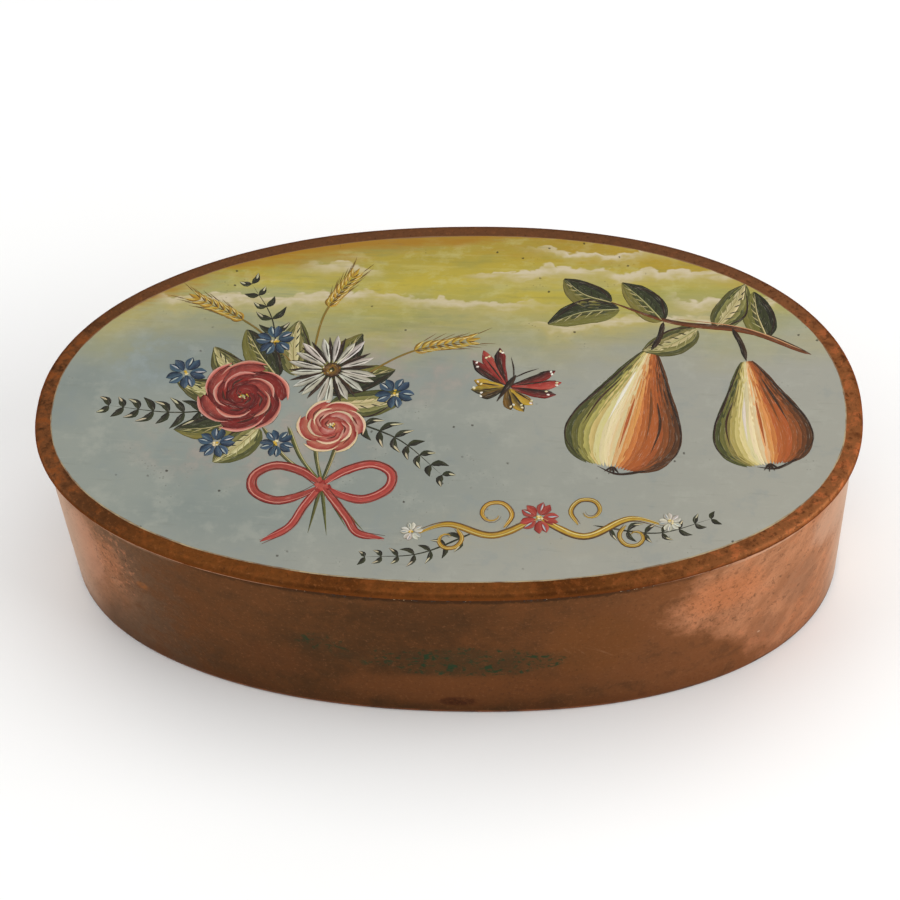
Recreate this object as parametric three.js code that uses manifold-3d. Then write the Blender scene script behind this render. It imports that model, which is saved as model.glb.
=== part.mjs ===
// An oval trinket box of soldered sheet copper with a flat painted lid that lifts off.
// Millimetres, +Z up. The origin is the middle of the flat bottom, +X runs along the oval and -Y is the front.
import * as THREE from "three";
import { mergeVertices } from "three/addons/utils/BufferGeometryUtils.js";
import Module from "manifold-3d";

const wasm = await Module();
wasm.setup();

// The oval. Every piece follows the lid's outline at an inset of its own.
const lidHalfLength = 95;
const lidHalfWidth = 55.6;
const outlinePower = 2.185; // 2 would be an ellipse, more is fuller towards the corners
const unevenCosShare = -0.011; // a hand-bent oval: one end is blunter than the other
const unevenSinShare = -0.0085;
const outlineSteps = 80;
const bendSteps = 3; // on each quarter turn of a rolled edge
const wireSides = 8;

// The box. The wall stands on the base, and the base's edge is flush with it.
const bodyHeight = 47.4; // from the table to the underside of the lid
const lidOverhang = 1.5; // how far the lid's edge stands out past the wall
const wallThickness = 1;
const wallLean = 1.2; // how far the wall comes in from its top to its foot
const wallEdgeBevel = 0.2; // the sharp corners of its top edge, filed off
const baseThickness = 1.2;
const baseEdgeRadius = 0.8;
const baseSolderLeg = 1.8;

// The lid. Its sheet is turned under at the edge, round a wire.
const lidEdgeThickness = 2.4;
const lidSheetThickness = 0.6;
const wireClearance = 0.15;
const collarThickness = 0.8;
const collarDepth = 8; // below the underside of the lid
const collarClearance = 0.6; // between the collar and the inside of the wall
const collarLeadIn = 0.4; // a bevel on the collar's lower edge, which guides the lid on
const collarSolderLeg = 1.5;

// The paint on the lid.
const bareBorder = 3.8; // copper left bare round the picture
const primerReveal = 0.25; // primer left showing round the paint
const primerThickness = 0.08;
const paintThickness = 0.24; // the ground colour and the brush strokes on it

// The joints between pieces.
const solderGap = 0.3; // between a fillet and the bent sheet that it holds
const hemGap = 0.3; // between the end of the turned edge and the collar
const seamWidth = 1; // filled joint where the ends of a bent strip meet
const filletHollowShare = 0.4; // how far a fillet's face is drawn in towards its corner

// Colours, from the bare metal and the paint.
const copperColour = 0xa5623d;
const wireColour = 0x8f5a3c;
const solderColour = 0x9a9690;
const primerColour = 0xe6dfc6;
const paintColour = 0x9fa9a2;

// Insets from the lid's outline, all at the height of the lid's underside.
const middleInset = lidHalfWidth;
const wallOuterInset = lidOverhang;
const wallInnerInset = wallOuterInset + wallThickness;
const collarOuterInset = wallInnerInset + collarClearance;
const collarInnerInset = collarOuterInset + collarThickness;
const hemInset = collarOuterInset - hemGap;

// Heights.
const lidTop = bodyHeight + lidEdgeThickness;
const sheetUnderside = lidTop - lidSheetThickness;

/** The lid's outline: a fuller ellipse with a small unevenness that comes round three times. */
class HandBentOval extends THREE.Curve {
  getPoint(t, target = new THREE.Vector3()) {
    const angle = (t - 1 / 4) * 2 * Math.PI;
    const grow = 1 + unevenCosShare * Math.cos(3 * angle) + unevenSinShare * Math.sin(3 * angle);
    const along = fuller(Math.cos(angle)) * lidHalfLength * grow;
    const across = fuller(Math.sin(angle)) * lidHalfWidth * grow;
    return target.set(along, across, 0);
  }
}

function fuller(cosine) {
  return Math.sign(cosine) * Math.abs(cosine) ** (2 / outlinePower);
}

const oval = new HandBentOval();
const outline = Array.from({ length: outlineSteps }, (_, step) => outlinePoint(step / outlineSteps));
const outlineBox = new THREE.Box3().setFromPoints(outline.map((place) => place.point));
const outlineMiddle = outlineBox.getCenter(new THREE.Vector3());

/** A point of the outline and the way in from it, square to the edge. */
function outlinePoint(t) {
  const tangent = oval.getTangent(t);
  return { point: oval.getPoint(t), inward: new THREE.Vector3(-tangent.y, tangent.x, 0) };
}

/** The place at a step round the outline and an inset from it, with the oval centred on the origin. */
function ovalPlace(step, inset) {
  const { point, inward } = outline[step % outlineSteps];
  if (inset >= middleInset) {
    return new THREE.Vector3();
  }
  return point.clone().addScaledVector(inward, inset).sub(outlineMiddle);
}

/**
 * Carries a profile round the oval. A profile's x is minus the inset from the lid's outline, and its y is
 * the height. It runs anticlockwise, from axis to axis for a disc, or closes on itself for a ring.
 */
function carryRound(profile) {
  const points = profile.map((place) => new THREE.Vector2(middleInset + place.x, place.y));
  const geometry = new THREE.LatheGeometry(points, outlineSteps);
  geometry.rotateX(Math.PI / 2);
  const position = geometry.attributes.position;
  for (let i = 0; i < position.count; i++) {
    const place = profile[i % profile.length];
    const { x, y } = ovalPlace(Math.floor(i / profile.length), -place.x);
    position.setXYZ(i, x, y, place.y);
  }
  return weld(geometry);
}

/** Keeps only the positions, with shared corners merged, so that the surface closes. */
function weld(geometry) {
  geometry.deleteAttribute("normal");
  geometry.deleteAttribute("uv");
  const welded = mergeVertices(geometry);
  const corners = Array.from(welded.index.array);
  const kept = [];
  for (let i = 0; i < corners.length; i += 3) {
    const [a, b, c] = corners.slice(i, i + 3);
    if (a !== b && b !== c && c !== a) {
      kept.push(a, b, c);
    }
  }
  welded.setIndex(kept);
  welded.computeVertexNormals();
  return welded;
}

function toSolid(geometry) {
  const vertProperties = new Float32Array(geometry.attributes.position.array);
  const triVerts = new Uint32Array(geometry.index.array);
  return new wasm.Manifold(new wasm.Mesh({ numProp: 3, vertProperties, triVerts }));
}

function toGeometry(solid) {
  const mesh = solid.getMesh();
  const geometry = new THREE.BufferGeometry();
  geometry.setAttribute("position", new THREE.BufferAttribute(new Float32Array(mesh.vertProperties), 3));
  geometry.setIndex(new THREE.BufferAttribute(new Uint32Array(mesh.triVerts), 1));
  geometry.computeVertexNormals();
  return geometry;
}

/** The joint at the back of every bent strip: an upright slot from the middle of the oval to past its edge. */
function backSlot() {
  const slot = new THREE.BoxGeometry(seamWidth, lidHalfWidth * 2, lidTop * 2);
  slot.translate(0, lidHalfWidth, lidTop / 2);
  return toSolid(weld(slot));
}

/** A closed ring cut at the joint, as the bent strip and the filling between its ends. */
function stripAndFilling(ring) {
  const whole = toSolid(ring);
  const slot = backSlot();
  return { strip: toGeometry(whole.subtract(slot)), filling: toGeometry(whole.intersect(slot)) };
}

function closed(path, divisions) {
  const points = path.getPoints(divisions);
  const last = points[points.length - 1];
  if (last.distanceTo(points[0]) > 0) {
    points.push(points[0].clone());
  }
  return points;
}

/** The wall's inset grows towards its foot. The height is measured from the table. */
function leanAt(height) {
  return (wallLean * (bodyHeight - height)) / (bodyHeight - baseThickness);
}

function wallRing() {
  const foot = leanAt(baseThickness);
  const shoulder = bodyHeight - wallEdgeBevel;
  const path = new THREE.Path();
  path.moveTo(-wallInnerInset - foot, baseThickness);
  path.lineTo(-wallOuterInset - foot, baseThickness);
  path.lineTo(-wallOuterInset, shoulder);
  path.lineTo(-wallOuterInset - wallEdgeBevel, bodyHeight);
  path.lineTo(-wallInnerInset + wallEdgeBevel, bodyHeight);
  path.lineTo(-wallInnerInset, shoulder);
  return carryRound(closed(path));
}

/** The flat bottom. Its edge is rounded below and square above, where the wall stands. */
function basePlate() {
  const edge = wallOuterInset + leanAt(baseThickness);
  const path = new THREE.Path();
  path.moveTo(-middleInset, 0);
  path.lineTo(-edge - baseEdgeRadius, 0);
  path.absarc(-edge - baseEdgeRadius, baseEdgeRadius, baseEdgeRadius, -Math.PI / 2, 0, false);
  path.lineTo(-edge, baseThickness);
  path.lineTo(-middleInset, baseThickness);
  return carryRound(path.getPoints(bendSteps));
}

/** Solder in the corner between the base and the wall. */
function baseSolder() {
  const corner = new THREE.Vector2(-wallInnerInset - leanAt(baseThickness) - solderGap, baseThickness);
  const tip = new THREE.Vector2(corner.x, corner.y + baseSolderLeg);
  const toe = new THREE.Vector2(corner.x - baseSolderLeg, corner.y);
  const path = new THREE.Path();
  path.moveTo(toe.x, toe.y);
  path.lineTo(corner.x, corner.y);
  path.lineTo(tip.x, tip.y);
  hollowTo(path, tip, toe, corner);
  return carryRound(closed(path, bendSteps));
}

/** Draws a fillet's face, hollowed towards its corner. */
function hollowTo(path, from, to, corner) {
  const middle = from.clone().add(to).divideScalar(2);
  const control = middle.lerp(corner, filletHollowShare);
  path.quadraticCurveTo(control.x, control.y, to.x, to.y);
}

/** The flat top, turned under at its edge: out along the underside, round the bend and back under the rim. */
function lidSheet() {
  const bendRadius = lidEdgeThickness / 2;
  const bendHeight = bodyHeight + bendRadius;
  const returnTop = bodyHeight + lidSheetThickness;
  const path = new THREE.Path();
  path.moveTo(-middleInset, sheetUnderside);
  path.lineTo(-bendRadius, sheetUnderside);
  path.absarc(-bendRadius, bendHeight, bendRadius - lidSheetThickness, Math.PI / 2, -Math.PI / 2, true);
  path.lineTo(-hemInset, returnTop);
  path.lineTo(-hemInset, bodyHeight);
  path.lineTo(-bendRadius, bodyHeight);
  path.absarc(-bendRadius, bendHeight, bendRadius, -Math.PI / 2, Math.PI / 2, false);
  path.lineTo(-middleInset, lidTop);
  return carryRound(path.getPoints(bendSteps));
}

/** The wire that the edge is turned round. Its ends meet at the back, where the strips' joints are. */
function rimWire() {
  const bendRadius = lidEdgeThickness / 2;
  const radius = bendRadius - lidSheetThickness - wireClearance;
  const section = new THREE.EllipseCurve(-bendRadius, bodyHeight + bendRadius, radius, radius);
  const ring = carryRound(closed(section, wireSides));
  return stripAndFilling(ring).strip;
}

/** The band under the lid, which drops inside the wall. */
function collarRing() {
  const bottom = bodyHeight - collarDepth;
  const path = new THREE.Path();
  path.moveTo(-collarInnerInset, bottom);
  path.lineTo(-collarOuterInset - collarLeadIn, bottom);
  path.lineTo(-collarOuterInset, bottom + collarLeadIn);
  path.lineTo(-collarOuterInset, sheetUnderside);
  path.lineTo(-collarInnerInset, sheetUnderside);
  return carryRound(closed(path));
}

/** Solder in the corner between the lid's underside and the collar. */
function collarSolder() {
  const corner = new THREE.Vector2(-collarInnerInset - solderGap, sheetUnderside);
  const tip = new THREE.Vector2(corner.x, corner.y - collarSolderLeg);
  const toe = new THREE.Vector2(corner.x - collarSolderLeg, corner.y);
  const path = new THREE.Path();
  path.moveTo(tip.x, tip.y);
  path.lineTo(corner.x, corner.y);
  path.lineTo(toe.x, toe.y);
  hollowTo(path, toe, tip, corner);
  return carryRound(closed(path, bendSteps));
}

/** A thin flat coat on the lid. */
function coat(inset, bottom, thickness) {
  const path = new THREE.Path();
  path.moveTo(-middleInset, bottom);
  path.lineTo(-inset, bottom);
  path.lineTo(-inset, bottom + thickness);
  path.lineTo(-middleInset, bottom + thickness);
  return carryRound(path.getPoints());
}

function copper() {
  return new THREE.MeshStandardMaterial({ color: copperColour, metalness: 1, roughness: 0.42 });
}

function wire() {
  return new THREE.MeshStandardMaterial({ color: wireColour, metalness: 1, roughness: 0.5 });
}

function solder() {
  return new THREE.MeshStandardMaterial({ color: solderColour, metalness: 1, roughness: 0.55 });
}

function primer() {
  return new THREE.MeshStandardMaterial({ color: primerColour, metalness: 0, roughness: 0.8 });
}

function paint() {
  return new THREE.MeshStandardMaterial({ color: paintColour, metalness: 0, roughness: 0.5 });
}

function named(name, geometry, material) {
  const mesh = new THREE.Mesh(geometry, material);
  mesh.name = name;
  return mesh;
}

function makeBody() {
  const wall = stripAndFilling(wallRing());
  const body = new THREE.Group();
  body.add(named("body_wall", wall.strip, copper()));
  body.add(named("wall_seam_solder", wall.filling, solder()));
  body.add(named("base_plate", basePlate(), copper()));
  body.add(named("base_solder", baseSolder(), solder()));
  return body;
}

function makeLid() {
  const collar = stripAndFilling(collarRing());
  const primerTop = lidTop + primerThickness;
  const lid = new THREE.Group();
  lid.add(named("lid_sheet", lidSheet(), copper()));
  lid.add(named("rim_wire", rimWire(), wire()));
  lid.add(named("lid_collar", collar.strip, copper()));
  lid.add(named("collar_seam_solder", collar.filling, solder()));
  lid.add(named("collar_solder", collarSolder(), solder()));
  lid.add(named("primer_coat", coat(bareBorder, lidTop, primerThickness), primer()));
  lid.add(named("paint_film", coat(bareBorder + primerReveal, primerTop, paintThickness), paint()));
  return lid;
}

const box = new THREE.Group();
box.add(makeBody());
box.add(makeLid());

export default box;
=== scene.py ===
"""An oval trinket box of sheet copper with a painted lid that lifts off, in metres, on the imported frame."""
import math
import random

import bmesh
import bpy
import numpy as np
from mathutils import Matrix, Vector, noise


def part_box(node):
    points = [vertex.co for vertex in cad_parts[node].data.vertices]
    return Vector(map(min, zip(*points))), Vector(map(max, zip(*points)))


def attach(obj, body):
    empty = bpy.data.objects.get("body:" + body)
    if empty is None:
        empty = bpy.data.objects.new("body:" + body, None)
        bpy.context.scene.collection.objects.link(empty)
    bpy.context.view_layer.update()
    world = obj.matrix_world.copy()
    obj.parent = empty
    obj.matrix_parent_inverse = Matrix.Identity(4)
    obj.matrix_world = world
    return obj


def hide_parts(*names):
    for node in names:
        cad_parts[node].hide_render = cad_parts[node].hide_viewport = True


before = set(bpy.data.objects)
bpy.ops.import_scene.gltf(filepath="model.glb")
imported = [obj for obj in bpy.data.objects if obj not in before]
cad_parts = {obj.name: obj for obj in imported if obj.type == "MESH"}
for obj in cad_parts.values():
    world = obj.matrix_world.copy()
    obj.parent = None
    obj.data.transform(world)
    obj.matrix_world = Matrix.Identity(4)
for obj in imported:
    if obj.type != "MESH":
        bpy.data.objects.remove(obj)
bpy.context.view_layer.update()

MM = 0.001
QUARTER = math.pi / 2

# The lid's outline, as the CAD part has it. Every piece follows it at an inset of its own.
OUTLINE_POWER = 2.185
UNEVEN_COS_SHARE = -0.011
UNEVEN_SIN_SHARE = -0.0085
LID_LOW, LID_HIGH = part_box("lid_sheet")
HALF_LENGTH = (LID_HIGH.x - LID_LOW.x) / 2
HALF_WIDTH = (LID_HIGH.y - LID_LOW.y) / 2
SQUARE_INSET = 9 * MM  # nearer the middle than this, a ring is scaled in place of being inset

# The box.
BASE_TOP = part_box("base_plate")[1].z
WALL_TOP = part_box("body_wall")[1].z
OVERHANG = 1.5 * MM
WALL = 1.0 * MM
WALL_LEAN = 1.2 * MM
WALL_EDGE = 0.2 * MM
BASE_EDGE = 0.8 * MM
BASE_SOLDER_LEG = 1.8 * MM
SEAM = 1.0 * MM
SEAM_PROUD = 0.06 * MM
SOLDER_GAP = 0.3 * MM

# The lid.
LID_UNDER = LID_LOW.z
LID_TOP = LID_HIGH.z
LID_SHEET = 0.6 * MM
LID_BEND = (LID_TOP - LID_UNDER) / 2
SHEET_UNDER = LID_TOP - LID_SHEET
COLLAR_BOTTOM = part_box("lid_collar")[0].z
COLLAR_CLEARANCE = 0.6 * MM
COLLAR = 0.8 * MM
COLLAR_EDGE = 0.15 * MM
COLLAR_SOLDER_LEG = 1.5 * MM
HEM_GAP = 0.3 * MM

# The paint.
BORDER = 3.8 * MM
PRIMER_SHOWS = 0.25 * MM
PRIMER_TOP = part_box("primer_coat")[1].z
PAINT_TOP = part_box("paint_film")[1].z
GROUND_TOP = PRIMER_TOP + 0.05 * MM

WALL_IN = OVERHANG + WALL
COLLAR_OUT = WALL_IN + COLLAR_CLEARANCE
COLLAR_IN = COLLAR_OUT + COLLAR

RING_STEPS = 360


def add_object(name, data):
    made = bpy.data.objects.new(name, data)
    bpy.context.scene.collection.objects.link(made)
    return made


def make_camera():
    """The photograph's camera, from a fit to the outlines of the lid, the paint and the foot of the wall."""
    yaw, pitch, roll = math.radians(5.455), math.radians(51.013), math.radians(-4.001)
    distance, aim = 610.83 * MM, (1.498 * MM, -14.671 * MM, LID_TOP)
    focal_px, frame_px = 2698.3, 900
    data = bpy.data.cameras.new("camera")
    data.sensor_width = 36
    data.lens = focal_px / frame_px * data.sensor_width
    data.clip_start, data.clip_end = 0.01, 50
    camera = add_object("camera", data)
    turn = Matrix.Rotation(yaw, 4, "Z") @ Matrix.Rotation(QUARTER - pitch, 4, "X")
    turn = turn @ Matrix.Rotation(roll, 4, "Z")
    camera.matrix_world = Matrix.Translation(aim) @ turn @ Matrix.Translation((0, 0, distance))
    bpy.context.scene.camera = camera


# The outline and what is carried round it.
def fuller(cosine):
    return np.sign(cosine) * np.abs(cosine) ** (2 / OUTLINE_POWER)


def outline(angle):
    grow = 1 + UNEVEN_COS_SHARE * np.cos(3 * angle) + UNEVEN_SIN_SHARE * np.sin(3 * angle)
    x = fuller(np.cos(angle)) * HALF_LENGTH * grow
    y = fuller(np.sin(angle)) * HALF_WIDTH * grow
    return np.stack([x, y], -1)


def outline_middle():
    points = outline(np.linspace(0, 2 * math.pi, 720, endpoint=False))
    return (points.min(0) + points.max(0)) / 2


MIDDLE = outline_middle()


def inward(angle):
    step = 0.001
    along = outline(angle + step) - outline(angle - step)
    along = along / np.linalg.norm(along, axis=-1, keepdims=True)
    return np.stack([-along[..., 1], along[..., 0]], -1)


def place(angle, inset):
    """The point at an angle and an inset from the lid's outline, down to the middle at the half width."""
    kept = np.minimum(inset, SQUARE_INSET)
    share = (inset - kept) / (HALF_WIDTH - SQUARE_INSET)
    edge = outline(angle) + inward(angle) * kept[..., None] - MIDDLE
    return edge * (1 - share)[..., None]


def seam_angle(x):
    """Where the outline crosses x at the back."""
    angles = np.linspace(QUARTER * 1.2, QUARTER * 0.8, 4001)
    return float(np.interp(x, outline(angles)[:, 0] - MIDDLE[0], angles))


SEAM_LEFT, SEAM_RIGHT = seam_angle(-SEAM / 2), seam_angle(SEAM / 2)


def ripple(angle, waves, along):
    """Smooth noise round the oval. More waves make it finer, and along is a place in a third direction."""
    return noise.noise(Vector((math.cos(angle) * waves, math.sin(angle) * waves, along)))


def uneven(angle, height, size=1.0):
    """How far a hand-bent wall stands in from its true line, at an angle and a height."""
    slow = ripple(angle, 3.1, height * 26)
    fine = ripple(angle, 12.4, height * 70 + 5)
    return (0.09 + 0.07 * slow + 0.025 * fine) * MM * size


def arc(centre_inset, centre_height, radius, start, end, steps):
    """A profile's round stretch. Angles are seen with the outside of the oval to the right."""
    turns = np.linspace(start, end, steps + 1)
    return [(centre_inset - radius * math.cos(t), centre_height + radius * math.sin(t)) for t in turns]


def lines(*path):
    """Straight stretches of a profile: places, with the steps between each two, without the last place."""
    spots = []
    for start, steps, end in zip(path[::2], path[1::2], path[2::2]):
        for s in np.linspace(0, 1, steps, endpoint=False):
            spots.append((start[0] + (end[0] - start[0]) * s, start[1] + (end[1] - start[1]) * s))
    return spots


def carry_round(name, profile, moved, steps=RING_STEPS, start=0.0, end=2 * math.pi, smooth=40):
    """Carries a closed profile of (inset, height) round the oval, or over a part of it with flat ends.

    moved(angle, inset, height) gives a changed inset and height, for what is uneven.
    """
    whole = abs(end - start - 2 * math.pi) < 1e-9
    angles = np.linspace(start, end, steps, endpoint=not whole)
    if whole:
        angles += QUARTER / 7  # keeps the points off the axes, where the outline's formula is sharpest
    across, around = len(profile), len(angles)
    spots = np.array([[moved(angle, *spot) for spot in profile] for angle in angles])
    insets, heights = spots[..., 0], spots[..., 1]
    points = np.concatenate([place(angles[:, None], insets), heights[..., None]], -1).reshape(-1, 3)
    edge = place(angles, np.full(around, OVERHANG))
    run = np.concatenate([[0], np.cumsum(np.linalg.norm(np.diff(edge, axis=0), axis=1))])
    run -= np.interp(3 * QUARTER, angles, run)
    strip = np.stack([np.repeat(run, across), heights.ravel()], -1)
    faces = []
    for i in range(around if whole else around - 1):
        here, there = i * across, ((i + 1) % around) * across
        for j in range(across):
            k = (j + 1) % across
            faces.append((here + j, there + j, there + k, here + k))
    if not whole:
        faces.append(tuple(range(across)))
        faces.append(tuple(reversed(range((around - 1) * across, around * across))))
    return make_mesh(name, points, faces, strip, smooth)


def make_mesh(name, points, faces, strip, smooth):
    """A mesh with its doubled corners merged, its flat faces dropped and its normals out.

    Its UV map, strip, is the run along the strip from the front's middle and the height, in metres.
    """
    data = bpy.data.meshes.new(name)
    data.from_pydata([tuple(p) for p in points], [], faces)
    lay_map(data, "strip", strip)
    work = bmesh.new()
    work.from_mesh(data)
    bmesh.ops.remove_doubles(work, verts=work.verts, dist=1e-7)
    bmesh.ops.dissolve_degenerate(work, edges=work.edges, dist=1e-7)
    bmesh.ops.recalc_face_normals(work, faces=work.faces)
    work.to_mesh(data)
    work.free()
    data.shade_smooth()
    data.set_sharp_from_angle(angle=math.radians(smooth))
    return add_object(name, data)


def lay_map(data, name, places):
    """Adds a UV map, from a place for each of the mesh's points."""
    corners = np.zeros(len(data.loops), "i")
    data.loops.foreach_get("vertex_index", corners)
    data.uv_layers.new(name=name).data.foreach_set("uv", places[corners].astype("f").ravel())


def dress(piece, body, slot, material, *nodes):
    """Sets what a piece rides on and its finish, and hides the CAD nodes that it stands for."""
    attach(piece, body)
    if nodes:
        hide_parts(*nodes)
    piece.data.materials.clear()
    piece.data.materials.append(material)


# The box.
def bent(angle, inset, height):
    """The lean and the unevenness of the wall and of what is flush with it."""
    lean = WALL_LEAN * (WALL_TOP - max(height, BASE_TOP)) / (WALL_TOP - BASE_TOP)
    return inset + lean + uneven(angle, height), height


def make_wall(material):
    outer, inner, edge = OVERHANG, WALL_IN, WALL_EDGE
    profile = lines((inner, BASE_TOP), 2, (outer, BASE_TOP), 22, (outer, WALL_TOP - edge))
    profile += arc(outer + edge, WALL_TOP - edge, edge, 0, QUARTER, 3)
    profile += arc(inner - edge, WALL_TOP - edge, edge, QUARTER, 2 * QUARTER, 3)
    profile += lines((inner, WALL_TOP - edge * 2), 22, (inner, BASE_TOP))
    wall = carry_round("wall_sheet", profile, bent, start=SEAM_LEFT, end=SEAM_RIGHT + 4 * QUARTER)
    dress(wall, "body", "copper_wall", material, "body_wall")


def make_wall_seam(material):
    """The filled joint at the back, filed nearly flush."""
    def lumpy(angle, inset, height):
        inset, height = bent(angle, inset, height)
        return inset + 0.03 * MM * noise.noise(Vector((0, angle * 400, height * 900))), height

    outer, inner, top = OVERHANG - SEAM_PROUD, WALL_IN + SEAM_PROUD, WALL_TOP - WALL_EDGE
    low, high = (inner, BASE_TOP), (inner, top)
    profile = lines(low, 2, (outer, BASE_TOP), 40, (outer, top), 2, high, 40, low)
    seam = carry_round("wall_joint", profile, lumpy, steps=6, start=SEAM_RIGHT, end=SEAM_LEFT)
    dress(seam, "body", "solder", material, "wall_seam_solder")


def make_base(material):
    edge, bend, middle = OVERHANG, OVERHANG + BASE_EDGE, (HALF_WIDTH, BASE_TOP)
    profile = lines((HALF_WIDTH, 0), 12, (edge + BASE_EDGE * 3, 0), 2, (bend, 0))
    profile += arc(bend, BASE_EDGE, BASE_EDGE, -QUARTER, 0, 6)
    profile += lines((edge, BASE_TOP), 4, (edge + WALL * 4, BASE_TOP), 12, middle) + [middle]

    def flush(angle, inset, height):
        share = max(0.0, 1 - (inset - OVERHANG) / (HALF_WIDTH - OVERHANG))
        return inset + (WALL_LEAN + uneven(angle, BASE_TOP)) * share, height

    base = carry_round("base_sheet", profile, flush)
    dress(base, "body", "copper_base", material, "base_plate")


def make_fillet(name, inset, height, leg, up, body, material, node):
    """A solder fillet, from its corner along the sheet and along the band, with a hollow face."""
    corner, fullness = np.array((inset, height)), 0.6
    toe, tip = corner + (leg, 0), corner + (0, up * leg)
    control = corner + (toe + tip - corner * 2) / 2 * fullness
    s = np.linspace(0, 1, 6)[1:-1, None]
    profile = [toe, corner, tip, *((1 - s) ** 2 * tip + 2 * s * (1 - s) * control + s * s * toe)]

    def lumpy(angle, at, height):
        swell = ripple(angle, 22, height * 40)
        return at + 0.12 * MM * swell * (1 if at > inset + 0.1 * MM else 0), height

    made = carry_round(name, profile, lumpy, smooth=60)
    dress(made, body, "solder", material, node)


# The lid.
def make_lid(material):
    middle, hem, flat = LID_UNDER + LID_BEND, COLLAR_OUT - HEM_GAP, BORDER * 2
    profile = lines((HALF_WIDTH, SHEET_UNDER), 6, (LID_BEND, SHEET_UNDER))
    profile += arc(LID_BEND, middle, LID_BEND - LID_SHEET, QUARTER, -QUARTER, 10)
    profile += [(hem, LID_UNDER + LID_SHEET), (hem, LID_UNDER)]
    profile += arc(LID_BEND, middle, LID_BEND, -QUARTER, QUARTER, 20)
    profile += lines((LID_BEND * 1.5, LID_TOP), 6, (flat, LID_TOP), 6, (HALF_WIDTH, LID_TOP))
    profile += [(HALF_WIDTH, LID_TOP)]

    def hammered(angle, inset, height):
        slow, quick = ripple(angle, 5, 2), ripple(angle, 30, height * 100)
        share = max(0.0, 1 - inset / flat)
        return inset + (0.06 + 0.05 * slow + 0.02 * quick) * MM * share, height

    lid = carry_round("lid_top", profile, hammered)
    dress(lid, "lid", "copper_lid", material, "lid_sheet")


def make_collar(material):
    edge, outer, inner, low = COLLAR_EDGE, COLLAR_OUT, COLLAR_IN, COLLAR_BOTTOM
    profile = arc(inner - edge, low + edge, edge, -2 * QUARTER, -QUARTER, 3)
    profile += arc(outer + edge, low + edge, edge, -QUARTER, 0, 3)
    profile += lines((outer, low + edge * 2), 8, (outer, SHEET_UNDER), 2, (inner, SHEET_UNDER), 8,
                     (inner, low + edge))

    def settled(angle, inset, height):
        return inset + uneven(angle, height, 0.6), height

    collar = carry_round("collar_band", profile, settled, start=SEAM_LEFT, end=SEAM_RIGHT + 4 * QUARTER)
    dress(collar, "lid", "copper_collar", material, "lid_collar")


def make_coat(name, inset, bottom, top, seed, wander, slot, material, node):
    """A coat of paint up to an inset, with an edge that wanders as a brush does."""
    lip = min(0.05 * MM, (top - bottom) * 0.7)
    edge = [(inset, bottom), (inset + lip * 0.3, top - lip * 0.3), (inset + lip, top)]
    profile = lines((HALF_WIDTH, bottom), 8, edge[0]) + edge
    profile += lines((inset + lip * 4, top), 12, (HALF_WIDTH, top)) + [(HALF_WIDTH, top)]

    def wandering(angle, at, height):
        share = max(0.0, 1 - (at - inset) / (HALF_WIDTH - inset))
        waves = (6, 0, 0.55), (30, 4, 0.3), (90, 8, 0.15)
        drift = sum(part * ripple(angle, count, seed + more) for count, more, part in waves)
        return at + wander * drift * share, height

    coat = carry_round(name, profile, wandering, steps=720, smooth=50)
    dress(coat, "lid", slot, material, node)


def make_crumbs(name, seed, count, reach, material):
    """Crumbs caught under the lid's edge, in front."""
    dice = random.Random(seed)
    work = bmesh.new()
    for _ in range(count):
        angle = 3 * QUARTER + dice.choice((-0.24, -0.02, 0.2, 0.42, 0.6)) + dice.gauss(0, 0.05)
        under = math.radians(dice.uniform(42, 78))
        x, y = place(np.array(angle), np.array(LID_BEND - LID_BEND * math.cos(under) + 0.1 * MM))
        spot = Matrix.Translation((x, y, LID_UNDER + LID_BEND - LID_BEND * math.sin(under)))
        sizes = [reach * dice.uniform(0.4, 1) * dice.uniform(0.7, 1.6) for _ in range(3)]
        shape = spot @ Matrix.Diagonal(sizes + [1])
        bmesh.ops.create_icosphere(work, subdivisions=1, radius=1, matrix=shape)
    data = bpy.data.meshes.new(name)
    work.to_mesh(data)
    work.free()
    data.shade_smooth()
    dress(add_object(name, data), "lid", "copper_lid", material)


# Materials.
def rgb(r, g, b):
    """An sRGB colour, 0 to 255, as the linear colour that a socket takes."""
    out = []
    for v in (r, g, b):
        v = v / 255
        out.append(v / 12.92 if v <= 0.04045 else ((v + 0.055) / 1.055) ** 2.4)
    return (*out, 1.0)


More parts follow.
